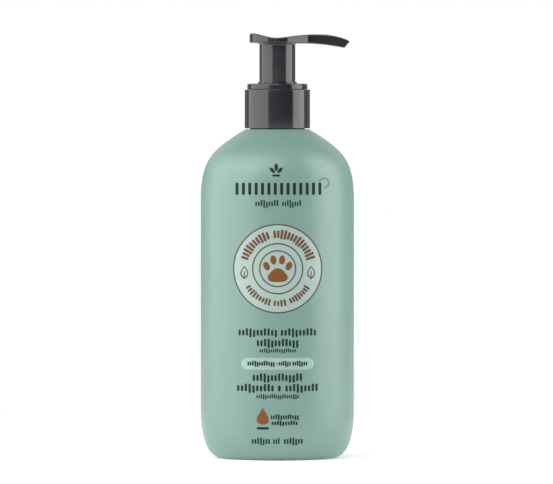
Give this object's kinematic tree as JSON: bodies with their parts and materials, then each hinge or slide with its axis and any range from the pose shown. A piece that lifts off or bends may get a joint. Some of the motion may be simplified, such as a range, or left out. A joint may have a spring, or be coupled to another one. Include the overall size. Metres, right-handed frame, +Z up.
{
  "type": "shampoo bottle",
  "caption": "Round plastic bottle with a rounded shoulder and heel, closed by a screw-on lotion pump with a thumb pad, an arched spout, a spring return and a dip tube.",
  "frame": {"origin": "centre of the base, at the plane that the bottle stands on", "axes": "+Z up along the bottle's axis, +X towards the spout's tip"},
  "size_m": [0.071, 0.071, 0.197],
  "materials": {
    "bottle_plastic": "satin blow-moulded plastic, mint green",
    "pump_plastic": "semi-gloss injection-moulded plastic, near black",
    "natural_plastic": "uncoloured moulded plastic, slightly translucent",
    "seal_plastic": "soft foamed liner and soft seal, white",
    "tube_plastic": "extruded tube, milky clear",
    "steel": "bright stainless steel"
  },
  "bodies": {
    "bottle": {"bottle": "bottle_plastic"},
    "pump_body": {"pump_housing": "natural_plastic", "retainer_cap": "pump_plastic", "neck_gasket": "seal_plastic", "ball_cage": "natural_plastic", "dip_tube": "tube_plastic"},
    "collar": {"screw_collar": "pump_plastic"},
    "plunger": {"return_spring": "steel"},
    "head": {"pump_head": "pump_plastic", "upper_stem": "natural_plastic", "lower_stem": "natural_plastic"},
    "piston": {"piston_seal": "seal_plastic"},
    "inlet_ball": {"inlet_ball": "steel"}
  },
  "joints": [
    {"name": "pump_lift", "type": "slide", "parent": "bottle", "child": "pump_body", "axis": [0, 0, 1], "range_m": [0, 0.00777]},
    {"name": "collar_turn", "type": "hinge", "parent": "pump_body", "child": "collar", "pos_m": [0, 0, 0.1617], "axis": [0, 0, 1], "range_deg": [0, 660]},
    {"name": "head_press", "type": "slide", "parent": "pump_body", "child": "plunger", "axis": [0, 0, 1], "range_m": [-0.014, 0], "stiffness_N_per_m": 500, "springref_m": 0.012, "deforming": ["return_spring"]},
    {"name": "head_swivel", "type": "hinge", "parent": "plunger", "child": "head", "pos_m": [0, 0, 0.18], "axis": [0, 0, 1], "continuous": true},
    {"name": "outlet_valve", "type": "slide", "parent": "head", "child": "piston", "axis": [0, 0, 1], "range_m": [0, 0.0012]},
    {"name": "inlet_valve", "type": "slide", "parent": "pump_body", "child": "inlet_ball", "axis": [0, 0, 1], "range_m": [0, 0.0015]}
  ],
  "couplings": [
    {"joint": "pump_lift", "follows": "collar_turn", "m_per_rad": 0.00067375}
  ]
}
